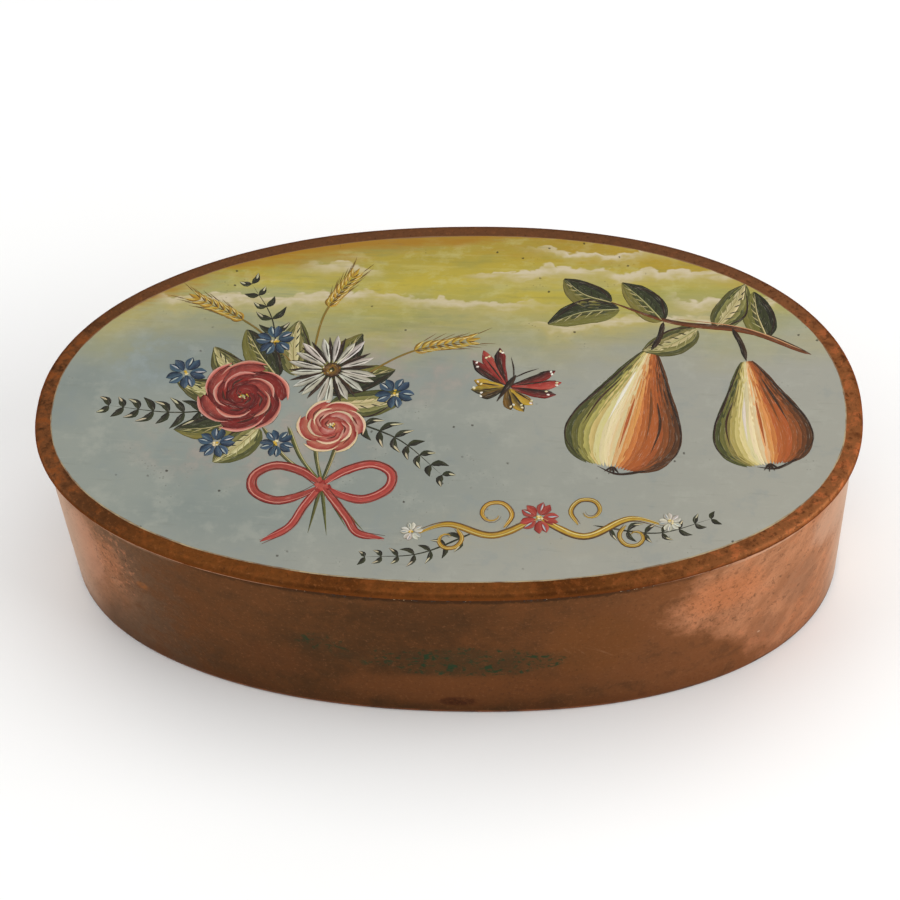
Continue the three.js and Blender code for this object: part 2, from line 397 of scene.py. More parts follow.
class Shader:
    """A node material, written as calls that take values or sockets and give a socket."""

    def __init__(self, name):
        self.material = bpy.data.materials.new(name)
        self.material.use_nodes = True
        self.tree = self.material.node_tree
        self.tree.nodes.clear()
        out = self.tree.nodes.new("ShaderNodeOutputMaterial")
        self.surface = self.tree.nodes.new("ShaderNodeBsdfPrincipled")
        self.tree.links.new(self.surface.outputs[0], out.inputs["Surface"])
        coordinates = self.tree.nodes.new("ShaderNodeTexCoord").outputs
        self.place, self.normal = coordinates["Object"], coordinates["Normal"]
        self.strip = self.tree.nodes.new("ShaderNodeUVMap").outputs["UV"]

    def put(self, node, inputs):
        """Gives a node's inputs, by name or number, a value or another node's socket."""
        for key, value in inputs.items():
            if isinstance(value, bpy.types.NodeSocket):
                self.tree.links.new(value, node.inputs[key])
            else:
                node.inputs[key].default_value = value

    def node(self, kind, inputs, **settings):
        made = self.tree.nodes.new("ShaderNode" + kind)
        for key, value in settings.items():
            setattr(made, key, value)
        self.put(made, inputs)
        return made.outputs

    def math(self, kind, a, b=0.0, clamp=False):
        return self.node("Math", {0: a, 1: b}, operation=kind, use_clamp=clamp)[0]

    def chain(self, kind, terms):
        total = terms[0]
        for term in terms[1:]:
            total = self.math(kind, total, term)
        return total

    def add(self, *terms):
        return self.chain("ADD", terms)

    def times(self, *terms):
        return self.chain("MULTIPLY", terms)

    def most(self, *terms):
        return self.chain("MAXIMUM", terms)

    def size(self, value):
        return self.math("ABSOLUTE", value)

    def square(self, length, unit):
        """The square of a length, counted in a unit."""
        return self.math("POWER", self.math("DIVIDE", length, unit), 2)

    def swing(self, pattern, reach):
        """A pattern of 0 to 1 as a swing about nothing, over a reach."""
        return self.times(self.add(pattern, -0.5), reach)

    def ramp(self, value, low, high, to_low=0.0, to_high=1.0):
        """A smooth step of value from low to high. High may be below low."""
        if low > high:
            low, high, to_low, to_high = high, low, to_high, to_low
        inputs = dict(enumerate((value, low, high, to_low, to_high)))
        return self.node("MapRange", inputs, interpolation_type="SMOOTHSTEP")[0]

    def span(self, length, low, high, to_low=0.0, to_high=1.0):
        """A ramp over a length, with low and high in millimetres."""
        return self.ramp(length, low * MM, high * MM, to_low, to_high)

    def mix(self, share, *colours):
        """From one colour to another by a share. Each is a socket or an sRGB colour, 0 to 255."""
        a, b = [rgb(*c) if isinstance(c, tuple) else c for c in colours]
        return self.node("Mix", {0: share, 6: a, 7: b}, data_type="RGBA")[2]

    def over(self, colour, *layers):
        """Shades laid over a colour, each up to its share, where a pattern steps from low to high."""
        for pattern, low, high, share, shade in layers:
            colour = self.mix(self.ramp(pattern, low, high, 0, share), colour, shade)
        return colour

    def moved(self, stretch=(1, 1), turn=0, shift=(0, 0, 0), at=None):
        """Places turned clockwise about Z, in degrees, and then scaled along X and Y, and shifted."""
        at = at or self.place
        steps = {"Rotation": (0, 0, math.radians(-turn)), "Scale": (*stretch, 1), "Location": shift}
        for key, value in steps.items():
            if any(value) and value != (1, 1, 1):
                at = self.node("Mapping", {"Vector": at, key: value})[0]
        return at

    def noise(self, scale, detail, rough=0.55, warp=0.0, **moves):
        """Noise over places, which the moves turn, stretch and shift first."""
        inputs = {"Vector": self.moved(**moves), "Scale": scale, "Detail": detail, "Roughness": rough}
        return self.node("TexNoise", {**inputs, "Distortion": warp})["Fac"]

    def specks(self, scale, size, share, ragged):
        """Ragged specks, of a share of a cell in size, in a share of the cells of a flat grid."""
        cells = self.node("TexVoronoi", {"Vector": self.place, "Scale": scale}, voronoi_dimensions="2D")
        chosen = self.ramp(self.axes(cells["Color"])[0], share, share - 0.02)
        apart = self.add(cells["Distance"], self.swing(self.noise(scale * 4, 3, 0.7), ragged * size))
        return self.times(self.ramp(apart, size, size * 0.4), chosen)

    def axes(self, at=None):
        return tuple(self.node("SeparateXYZ", {0: at or self.place}))

    def spot(self, centre, size, soft, at=None):
        """How near a place is to centre, from 0 at size away (by axis) to 1. Both are in millimetres."""
        gaps = []
        for axis, middle, half in zip(self.axes(at), centre, size):
            gaps.append(self.square(self.math("SUBTRACT", axis, middle * MM), half * MM))
        return self.ramp(self.add(*gaps), 1.0, soft)

    def finish(self, colour, rough, relief=None, strength=0.3, depth=0.1, **others):
        """The material with its finish. Its relief is up to a depth, in millimetres."""
        inputs = {key.replace("_", " "): value for key, value in others.items()}
        if relief is not None:
            bump = {"Strength": strength, "Distance": depth * MM, "Height": relief}
            inputs["Normal"] = self.node("Bump", bump)[0]
        self.put(self.surface, {"Base Color": colour, "Roughness": rough, **inputs})
        return self.material


def wall_shader():
    """The wall's patterns, on the strip: u runs along it from the front's middle, and z is the height."""
    s = Shader("copper_wall")
    s.u, s.z, _ = s.axes(s.strip)
    s.cloudy = s.noise(30, 6, 0.6, 0.5)
    s.mottle = s.noise(150, 8, 0.7, 0.3)
    s.fine = s.noise(480, 5, 0.75, 0.2)
    s.grain = s.noise(1300, 3, 0.7)
    s.streak = s.noise(1, 5, 0.65, stretch=(26, 700), turn=3, at=s.strip)
    s.wipe = s.noise(1, 7, 0.72, stretch=(70, 190), turn=56, at=s.strip)
    swings = (s.cloudy, 30), (s.mottle, 22), (s.fine, 9)
    s.wave = s.add(*[s.swing(pattern, reach * MM) for pattern, reach in swings])
    return s


def brown(s):
    """The patina in front, paler to the right and greyer to the left, partly as painted reflection."""
    along = s.add(s.u, s.wave)
    base = s.mix(s.ramp(s.cloudy, 0.36, 0.64), (80, 52, 29), (99, 62, 34))
    return s.over(base, (along, 0, 86 * MM, 0.9, (146, 92, 56)),
                  (along, -52 * MM, -84 * MM, 0.75, (116, 90, 70)),
                  (s.mottle, 0.46, 0.62, 0.35, (118, 72, 40)),
                  (s.mottle, 0.48, 0.34, 0.35, (66, 44, 26)),
                  (s.streak, 0.54, 0.72, 0.16, (126, 82, 48)))


def rubbed(s):
    """Bright copper, wiped aslant. Where it lies at the ends it is partly painted reflection."""
    base = s.mix(s.ramp(s.wipe, 0.36, 0.64), (168, 114, 80), (196, 138, 101))
    return s.over(base, (s.mottle, 0.5, 0.64, 0.45, (208, 138, 96)),
                  (s.mottle, 0.46, 0.34, 0.4, (128, 86, 60)),
                  (s.fine, 0.44, 0.34, 0.6, (104, 66, 44)),
                  (s.streak, 0.54, 0.7, 0.3, (216, 162, 122)))


def rubbing_and_reflection(s):
    """How far the wall is rubbed bright, which towards the ends is partly painted reflection. At the right
    that slants away to the foot and the top.
    """
    z = s.z
    slant = s.add(s.u, -51.5 * MM, s.span(z, 32, 2, 0, -24 * MM), s.span(z, 34, 46, 0, -8 * MM),
                  s.times(s.wave, 0.8))
    bulge = s.times(s.square(s.add(z, -27 * MM), 18 * MM), 8 * MM)
    along = s.add(s.u, bulge, s.times(s.wave, 1.3))
    return s.most(s.span(slant, -3, 8), s.times(s.span(along, -71, -93), 0.76))


def patches(s, colour):
    """Patches: a centre and a size in millimetres, a shade and its share. Most are wiped copper; the lighter
    orange one low in front is painted light, and the pale ones at the far ends are painted reflections.
    """
    for centre, size, shade, share in (((0, 10), (42, 10), (126, 76, 42), 0.6),
                                       ((34, 26), (16, 18), (124, 76, 38), 0.5),
                                       ((-4, 38), (24, 10), (70, 47, 29), 0.35),
                                       ((-40, 16), (14, 9), (104, 62, 34), 0.5),
                                       ((64, 35), (15, 10), (206, 128, 80), 0.5),
                                       ((98, 38), (14, 14), (208, 172, 148), 0.6),
                                       ((86, 24), (9, 12), (130, 94, 72), 0.4),
                                       ((77, 12), (8, 7), (124, 84, 60), 0.3),
                                       ((-82, 33), (6, 10), (190, 124, 86), 0.35),
                                       ((-91, 30), (9, 20), (200, 150, 124), 0.6)):
        near = s.spot(centre, size, 0.0, s.strip)
        ragged = s.ramp(s.add(near, s.swing(s.wipe, 2.2)), 0.1, 0.9)
        colour = s.mix(s.times(ragged, near, share), colour, shade)
    return colour


def ends_and_back(s, colour):
    """At the very ends a pale, greyish painted reflection lies over the copper, and the back is patinated
    like the front.
    """
    outward = s.add(s.size(s.add(s.u, -4 * MM)), s.times(s.wave, 0.2))
    # The pale, greyish ends: painted reflection.
    colour = s.over(colour, (outward, 90 * MM, 106 * MM, 0.85, (202, 174, 154)))
    back = s.mix(s.ramp(s.cloudy, 0.4, 0.62), (98, 64, 40), (126, 81, 51))
    back = s.over(back, (s.mottle, 0.46, 0.62, 0.3, (150, 96, 60)),
                  (s.mottle, 0.48, 0.34, 0.3, (74, 50, 34)))
    return s.mix(s.span(s.add(outward, s.wave), 112, 136), colour, back)


def pitted(s, colour):
    """Small dark pits, thickest where the left end's patina gives way, with raw spots and scratches."""
    left = s.spot((-80.5, 33), (9.5, 16), 0.2, s.strip)
    right = s.spot((63, 32), (15, 13), 0.2, s.strip)
    edge = s.most(left, s.times(right, 0.7))
    thick = s.most(s.times(s.ramp(s.noise(52, 3, 0.6), 0.5, 0.66), 0.5), edge)
    pits = s.ramp(s.noise(900, 4, 0.72, stretch=(1, 0.75), at=s.strip), 0.46, 0.38)
    colour = s.mix(s.times(pits, thick, 0.7), colour, (78, 48, 33))
    raw = s.noise(640, 5, 0.75, stretch=(1, 0.8), shift=(0.3, 0, 0), at=s.strip)
    colour = s.mix(s.times(s.ramp(raw, 0.52, 0.62), edge, 0.5), colour, (208, 140, 102))
    colour = s.over(colour, (s.grain, 0.42, 0.3, 0.3, (44, 28, 18)),
                    (s.grain, 0.56, 0.7, 0.16, (190, 130, 90)))
    return s.mix(s.times(scratches(s), 0.16), colour, (196, 146, 112))


def scratches(s):
    """Thin broken lines, which lean to the left."""
    thin = 0.012
    level = s.size(s.add(s.noise(1, 1.5, 0.4, stretch=(40, 520), turn=-40, at=s.strip), -0.5))
    gaps = s.ramp(s.noise(70, 3, 0.6, shift=(0.37, 0.37, 0.37)), 0.54, 0.66)
    return s.times(s.ramp(level, thin, thin * 0.3), gaps)


def grime_and_painted_light(s, colour):
    """An oranger foot, as painted light, and under the lid's edge a dark band of grime and painted shade,
    with a thin painted highlight over worn copper towards both ends.
    """
    # Oranger towards the foot: painted light.
    low = s.times(s.span(s.z, 7, 2), s.ramp(s.noise(55, 4), 0.4, 0.6))
    colour = s.mix(s.times(low, 0.3), colour, (104, 56, 28))
    # A dark band just under the lid's edge, strongest in the middle: painted shade with some grime.
    below, above = WALL_TOP - 2.8 * MM, WALL_TOP - 2.1 * MM
    grime = s.times(s.ramp(s.add(s.z, s.swing(s.fine, 3 * MM)), below, above),
                    s.span(s.add(s.size(s.u), s.wave), 66, 34, 0.15, 0.6))
    colour = s.mix(grime, colour, (40, 26, 16))
    # A thin bright line under the lid's edge towards both ends: painted highlight over worn copper.
    right, left = s.span(s.u, 60, 74, 0, 0.65), s.span(s.u, -56, -72, 0, 0.25)
    worn_and_highlight = s.times(s.ramp(s.z, below, above), s.most(right, left), s.ramp(s.mottle, 0.34, 0.5, 0.5, 1))
    return s.mix(worn_and_highlight, colour, (228, 184, 154))


def verdigris(s):
    """A dark greenish halo and its spots, low on the front, with a fainter one to the left."""
    wander = s.noise(110, 5, 0.65)
    bands = []
    for centre, size, share in (((2, 21.5), (37, 8.5), 1.0), ((-28, 26), (11, 6), 0.5)):
        near = s.spot(centre, size, 0.0, s.strip)
        bands.append(s.times(s.ramp(s.add(near, s.swing(wander, 2.4)), 0.15, 0.95), near, share))
    band = s.most(*bands)
    long = {"stretch": (1, 1.25), "at": s.strip}
    large = s.ramp(s.noise(330, 3, 0.6, 0.6, **long), 0.55, 0.63)
    small = s.ramp(s.noise(620, 3, 0.6, **long), 0.56, 0.64)
    halo = s.times(band, s.ramp(wander, 0.3, 0.6, 0.5, 1.0), 0.42)
    return halo, s.times(s.most(large, s.times(small, 0.8)), s.ramp(band, 0.2, 0.55), 0.85)


def marks(s, colour):
    """A dark stain at the foot, a brown one at the left and a bright nick at the right."""
    for centre, size, shade in (((2, 5), (6, 2.2), (62, 26, 16)), ((-72.5, 29), (2.2, 1.8), (150, 92, 48)),
                                ((74, 13), (0.5, 0.4), (236, 214, 190))):
        mark = s.spot(centre, size, 0.1, s.strip)
        colour = s.mix(s.times(mark, s.ramp(s.fine, 0.36, 0.56), 0.8), colour, shade)
    return colour


def inner_face(s):
    """The inner face, known by its normal, and its cleaner copper, rubbed where the lid's collar slides."""
    facing = s.node("VectorMath", {0: s.normal, 1: s.place}, operation="DOT_PRODUCT")["Value"]
    clean = s.mix(s.ramp(s.mottle, 0.38, 0.62), (112, 72, 46), (150, 98, 64))
    height = s.add(s.z, s.times(s.wave, 0.1))
    clean = s.over(clean, (height, WALL_TOP - 10 * MM, WALL_TOP - 7 * MM, 0.5, (178, 120, 82)))
    return s.span(facing, 4, -4), clean


def copper_wall():
    """Brown patina in front, rubbed bright towards the ends, with some verdigris low in front. The dark front
    and the bright ends are partly painted reflection.
    """
    s = wall_shader()
    colour = s.mix(rubbing_and_reflection(s), brown(s), rubbed(s))
    for layer in (patches, ends_and_back, pitted, grime_and_painted_light):
        colour = layer(s, colour)
    halo, green = verdigris(s)
    colour = marks(s, s.mix(green, s.mix(halo, colour, (46, 48, 26)), (26, 58, 34)))
    inner, clean = inner_face(s)
    outer = s.math("SUBTRACT", 1.0, inner)
    green = s.times(green, outer)
    dull = s.most(green, s.times(halo, outer, 0.8))
    rough = s.add(0.36, s.times(s.mottle, 0.2), s.times(s.fine, 0.1), s.times(dull, 0.35))
    relief = s.add(s.times(s.mottle, 0.8), s.times(s.fine, 0.5), s.times(s.grain, 0.3), s.times(green, 0.4))
    return s.finish(s.mix(inner, colour, clean), rough, relief, 0.35, 0.12, Specular_IOR_Level=0.15,
                    Metallic=s.math("SUBTRACT", 1.0, dull, clamp=True), Specular_Tint=rgb(244, 230, 218))


def copper_base():
    s = Shader("copper_base")
    mottle = s.noise(170, 7, 0.68, 0.3)
    colour = s.mix(s.ramp(mottle, 0.35, 0.65), (92, 56, 34), (150, 92, 56))
    colour = s.over(colour, (s.noise(30, 4, 0.6), 0.45, 0.65, 1, (112, 72, 46)))
    rough = s.add(0.32, s.times(mottle, 0.25))
    return s.finish(colour, rough, s.noise(400, 6, 0.65), 0.25, 0.1, Metallic=1.0)


def copper_lid():
    """The lid's bare border: reddish brown, mottled, brighter at the right and darker at the left as painted
    light, duller at the back.
    """
    s = Shader("copper_lid")
    x, y, z = s.axes()
    cloudy = s.noise(34, 5, 0.6, 0.4)
    mottle = s.noise(360, 8, 0.7, 0.3)
    grain = s.noise(1300, 3, 0.7)
    colour = s.mix(s.ramp(cloudy, 0.38, 0.62), (86, 48, 20), (106, 62, 28))
    # Brighter towards the right and darker at the left: painted light, over the mottle.
    bright = s.span(s.add(x, s.swing(mottle, 40 * MM)), 30, 84, 0, 0.7)
    colour = s.mix(bright, colour, (146, 92, 56))
    colour = s.over(colour, (x, -58 * MM, -86 * MM, 0.65, (84, 57, 38)))
    warm = s.spot((-86, -2), (15, 36), 0.0)
    colour = s.mix(s.times(warm, s.ramp(mottle, 0.36, 0.56), 0.45), colour, (146, 90, 54))
    fleck = s.add(0.32, s.times(bright, 0.35), s.times(warm, 0.3))
    light, dark = s.mix(bright, (144, 80, 38), (198, 112, 68)), s.mix(bright, (66, 40, 24), (82, 40, 22))
    colour = s.mix(s.times(s.ramp(mottle, 0.5, 0.62), fleck), colour, light)
    colour = s.mix(s.times(s.ramp(mottle, 0.47, 0.36), fleck), colour, dark)
    colour = s.over(colour, (y, 12 * MM, 44 * MM, 0.7, (110, 76, 54)))
    # The edge's side is painted as light as its top (painted light), with a dark lower half at the right
    # (painted shade).
    side = s.ramp(z, LID_TOP - 0.3 * MM, LID_TOP - 1.1 * MM, 0, 0.5)
    colour = s.mix(side, colour, s.mix(bright, (134, 78, 38), (168, 100, 58)))
    lower = s.times(s.ramp(z, LID_TOP - 0.7 * MM, LID_TOP - 1.2 * MM), s.span(x, 22, 58, 0, 0.55))
    colour = s.mix(lower, colour, (88, 46, 26))
    colour = s.over(colour, (grain, 0.42, 0.3, 0.4, (40, 24, 14)), (grain, 0.56, 0.7, 0.2, (178, 112, 66)))
    pits = s.times(s.ramp(s.noise(640, 4, 0.72), 0.45, 0.36), s.span(x, 20, 80, 0.25, 1))
    colour = s.mix(s.times(pits, 0.55), colour, (66, 36, 22))
    under, shine = beneath_edge(s, x, z, cloudy)
    # Under the edge: painted shade in the middle and a painted highlight towards both ends.
    colour = s.mix(s.times(under, 0.85), colour, (34, 22, 14))
    colour = s.mix(s.times(shine, s.ramp(mottle, 0.34, 0.5), 0.65), colour, (230, 186, 158))
    rough = s.add(0.46, s.times(mottle, 0.22), s.times(under, 0.3), s.times(side, 0.2))
    relief = s.add(s.times(mottle, 0.7), s.times(grain, 0.35), s.times(pits, -0.4))
    return s.finish(colour, rough, relief, 0.35, 0.1, Metallic=s.add(0.92, s.times(under, -0.92)),
                    Specular_Tint=rgb(190, 140, 110), Specular_IOR_Level=0.15)


def beneath_edge(s, x, z, cloudy):
    """Two shares under the lid's edge: a dark, dull band of painted shade and grime in the middle, and a
    painted highlight towards the left and the right.
    """
    outward = s.add(s.size(s.add(x, -8 * MM)), s.swing(cloudy, 30 * MM))
    aside = s.span(outward, 36, 60)
    under = s.times(s.ramp(z, LID_UNDER + 0.95 * MM, LID_UNDER + 0.6 * MM), s.math("SUBTRACT", 1.0, aside))
    return under, s.times(s.ramp(z, LID_UNDER + 1.15 * MM, LID_UNDER + 0.85 * MM), aside)


def copper_inside():
    s = Shader("copper_inside")
    mottle = s.noise(120, 6, 0.65, 0.5)
    colour = s.mix(s.ramp(mottle, 0.35, 0.65), (150, 92, 58), (196, 132, 92))
    colour = s.over(colour, (s.noise(28, 4, 0.6), 0.45, 0.65, 1, (134, 80, 50)))
    rough = s.add(0.26, s.times(mottle, 0.25))
    return s.finish(colour, rough, s.noise(400, 6, 0.6), 0.2, 0.08, Metallic=1.0)


def solder():
    s = Shader("solder")
    mottle = s.noise(300, 5, 0.6)
    colour = s.mix(mottle, (96, 91, 84), (136, 130, 121))
    rough = s.add(0.4, s.times(mottle, 0.25))
    return s.finish(colour, rough, s.noise(900, 4, 0.6), 0.3, 0.1, Metallic=1.0)


def plain(name, scale, dark, light, rough):
    """A rough finish with a slight mottle."""
    s = Shader(name)
    return s.finish(s.mix(s.noise(scale, 3), dark, light), rough)


def primer():
    s = Shader("primer")
    colour = s.mix(s.ramp(s.noise(120, 5, 0.65), 0.36, 0.6), (104, 76, 48), (160, 142, 106))
    colour = s.over(colour, (s.axes()[1], -5 * MM, 20 * MM, 1, (118, 82, 48)))
    return s.finish(colour, 0.65, s.noise(900, 4, 0.6), 0.3, 0.04)


def ground():
    """The picture's ground: grey-blue in front, and a yellow-green sky with soft clouds at the back."""
    s = Shader("paint_ground")
    x, y, _ = s.axes()
    small = s.noise(120, 6, 0.65)
    bristle = s.noise(1, 5, 0.65, stretch=(90, 700), turn=-3)
    lit = s.noise(46, 6, 0.62, stretch=(0.4, 1.3), turn=5)
    sweep = s.noise(1, 5, 0.7, stretch=(34, 380), turn=-2)
    grey = s.mix(s.ramp(s.noise(24, 4, 0.6), 0.35, 0.65), (120, 127, 121), (134, 138, 129))
    # Lighter towards the right and the front: painted light.
    grey = s.over(grey, (x, -60 * MM, 85 * MM, 0.8, (150, 147, 135)),
                  (y, -30 * MM, -52 * MM, 0.4, (152, 148, 136)),
                  (small, 0.5, 0.66, 0.3, (158, 158, 146)),
                  (small, 0.46, 0.34, 0.25, (120, 128, 128)))
    rise = s.add(y, s.swing(s.noise(22, 5, 0.6, stretch=(0.6, 1)), 44 * MM))
    colour = s.mix(s.span(rise, 5, 33), grey, sky(s, y, lit, sweep))
    edge = s.add(y, s.times(s.square(x, 90 * MM), 22 * MM), s.swing(lit, 22 * MM), s.swing(sweep, 12 * MM))
    gold = s.times(s.span(edge, 44, 51), s.span(x, 8, 40, 0.85, 0.3))
    colour = s.mix(gold, colour, (146, 102, 26))
    for centre, size, shade in (((-44, -12), (34, 16), (150, 128, 118)),
                                ((-8, 10), (26, 14), (150, 132, 122)),
                                ((20, -38), (40, 9), (146, 138, 118)),
                                ((-70, 12), (14, 12), (122, 136, 142))):
        haze = s.spot(centre, size, 0.0)
        colour = s.mix(s.times(haze, s.ramp(small, 0.42, 0.62), 0.4), colour, shade)
    body, top = clouds(s, y)
    colour = s.mix(top, s.mix(body, colour, (168, 153, 92)), (190, 177, 152))
    colour = s.over(colour, (bristle, 0.42, 0.3, 0.14, (96, 96, 84)),
                    (bristle, 0.58, 0.74, 0.1, (186, 182, 166)))
    grime = ground_grime(s, y, small)
    colour = s.mix(s.times(grime, 0.8), colour, (44, 36, 26))
    relief = s.add(s.times(bristle, 0.8), s.times(s.noise(260, 4, 0.6), 0.4), s.times(grime, -0.8))
    return s.finish(colour, s.add(0.5, s.times(bristle, 0.2)), relief, 0.4, 0.06, Specular_IOR_Level=0.14)


def ground_grime(s, y, small):
    """A share, for specks of four sizes. The larger ones are fainter at the back."""
    few = s.ramp(s.noise(46, 3, shift=(0.2, 0, 0)), 0.5, 0.56)
    large = s.most(s.specks(150, 0.07, 0.012, 1.8), s.times(s.specks(230, 0.075, 0.016, 1.8), 0.8))
    large = s.times(large, s.ramp(s.noise(90, 2), 0.35, 0.6, 0.3, 1), s.span(y, 34, 12, 0.5, 1))
    return s.most(large, s.times(s.specks(480, 0.2, 0.05, 1.8), few),
                  s.times(s.specks(1300, 0.3, 0.16, 1.0), few, s.ramp(small, 0.5, 0.6), 0.45))


def sky(s, y, lit, sweep):
    """The sky behind the clouds, brushed along the lid and dabbed."""
    dim = s.noise(38, 5, 0.6, stretch=(0.5, 1.4), shift=(0.4, 0.1, 0))
    dabs = s.noise(150, 6, 0.68, stretch=(0.8, 1.3), shift=(0.2, 0.3, 0))
    return s.over(s.mix(s.ramp(lit, 0.36, 0.6), (146, 141, 72), (167, 151, 60)),
                  (dim, 0.5, 0.66, 0.7, (142, 145, 106)),
                  (y, 34 * MM, 48 * MM, 0.6, (156, 130, 36)),
                  (sweep, 0.54, 0.68, 0.4, (180, 166, 96)),
                  (sweep, 0.46, 0.34, 0.35, (122, 118, 58)),
                  (dabs, 0.5, 0.66, 0.4, (178, 171, 116)),
                  (dabs, 0.47, 0.34, 0.3, (130, 128, 66)))


def clouds(s, y):
    """Two shares, for the banks of cloud that lie along the lid: their soft bodies and their lit tops."""
    lumps = s.size(s.add(s.noise(1, 3, 0.55, stretch=(120, 170)), -0.5))
    broken = s.noise(1, 4, 0.6, stretch=(60, 330), shift=(0.5, 0, 0))
    bodies, tops = 0.0, 0.0
    for level, reach, seed in ((47, 5, 0.3), (40, 8, 2.6), (31, 7, 4.1), (24, 6, 7.3)):
        swell = s.noise(1, 3, 0.5, stretch=(38, 12), shift=(seed, seed, 0))
        there = s.ramp(s.noise(1, 1, 0.5, stretch=(17, 6), shift=(seed * 3, 0, 0)), 0.46, 0.56)
        crest = s.add(level * MM, s.swing(swell, 14 * MM), s.times(lumps, 11 * MM))
        depth = s.math("SUBTRACT", crest, y)
        risen = s.times(s.span(depth, 0, 0.7), there)
        bodies = s.most(bodies, s.times(risen, s.span(depth, reach, 2)))
        tops = s.most(tops, s.times(risen, s.span(depth, reach * 0.55, 0.7)))
    return s.times(bodies, 0.6), s.times(tops, s.ramp(broken, 0.34, 0.56, 0.25, 1.0), 0.85)


def stroke_paint():
    """Thick paint: each stroke's own colours, with the streaks of the bristles along it."""
    s = Shader("paint_strokes")
    stroke = s.node("VertexColor", {}, layer_name="stroke")["Color"]
    bristle = s.noise(1, 4, 0.6, stretch=(1.6, 7), at=s.strip)
    base = s.over(stroke, (bristle, 0.42, 0.3, 0.4, (58, 46, 36)),
                  (bristle, 0.56, 0.72, 0.3, (214, 206, 186)))
    return s.finish(base, s.add(0.42, s.times(bristle, 0.2)), bristle, 0.5, 0.06, Specular_IOR_Level=0.16)


# The picture. Its strokes lie on the ground in layers, each stroke a thin raised ribbon with two colours.
BLACK, UMBER, BROWN, RUST = (30, 26, 22), (58, 38, 24), (108, 60, 28), (150, 78, 36)
MAROON, BRICK, ROSE, BLUSH = (74, 22, 20), (126, 36, 30), (158, 70, 58), (194, 150, 132)
CREAM, WHITE, STONE = (200, 186, 144), (206, 200, 186), (138, 132, 118)
NAVY, BLUE = (24, 34, 50), (66, 88, 104)
GOLD, OCHRE, OLIVE, MOSS = (184, 148, 46), (122, 88, 30), (104, 98, 46), (50, 54, 30)

LAYER = 0.026 * MM
RELIEF = 0.03 * MM
SUNK = 0.02 * MM
# A stroke's section, in shares of its half width and its height, and a pear's half breadth along its length.
SECTION_SHARES = ((-0.92, -1), (-1, 0), (-0.55, 1), (0, 0.72), (0.55, 1), (1, 0), (0.92, -1))
PEAR_SHARES = (0.09, 0.24, 0.37, 0.5, 0.65, 0.81, 0.93, 1.0, 0.97, 0.83, 0.4)


def curve_through(points, count):
    """Even steps along a smooth curve through a few points."""
    fixed = [np.array(p, float) for p in points]
    padded = [fixed[0] * 2 - fixed[1]] + fixed + [fixed[-1] * 2 - fixed[-2]]
    dense = []
    for a, b, c, d in zip(padded, padded[1:], padded[2:], padded[3:]):
        for t in np.linspace(0, 1, 16, endpoint=False):
            dense.append(0.5 * (2 * b + (c - a) * t + (2 * a - 5 * b + 4 * c - d) * t * t
                                + (3 * b - a - 3 * c + d) * t ** 3))
    dense = np.array(dense + [fixed[-1]])
    run = np.concatenate([[0], np.cumsum(np.linalg.norm(np.diff(dense, axis=0), axis=1))])
    steps = np.linspace(0, run[-1], count)
    return np.stack([np.interp(steps, run, dense[:, k]) for k in (0, 1)], -1), run[-1]


def off(start, angle, distance):
    """The place at a distance from a start, at an angle in degrees."""
    turn = math.radians(angle)
    return start[0] + math.cos(turn) * distance, start[1] + math.sin(turn) * distance


def heading_at(spine, i):
    """The angle, in degrees, at which a spine comes to its point i."""
    across, up = spine[i] - spine[i - 1]
    return math.degrees(math.atan2(up, across))


def blended(shades, share):
    """The colour at a share of the way through a row of them."""
    at = share * (len(shades) - 1)
    k = min(len(shades) - 2, int(at))
    return tuple(a + (b - a) * (at - k) for a, b in zip(shades[k], shades[k + 1]))


class Form:
    """A leaf or a fruit, from its base along an angle in degrees.

    spread(u) is its half breadth at a share u of its length. It bends to the left.
    """

    def __init__(self, base, angle, length, spread, bend=0.0):
        self.base, self.length, self.spread, self.bend = np.array(base), length, spread, bend
        x, y = off((0, 0), angle, 1)
        self.ahead, self.side = np.array((x, y)), np.array((-y, x))

    def spot(self, u, q):
        """The place at a share u of the length and a share q of the half breadth, to the left."""
        across = q * self.spread(u) + self.bend * math.sin(u * math.pi)
        return self.base + self.ahead * u * self.length + self.side * across


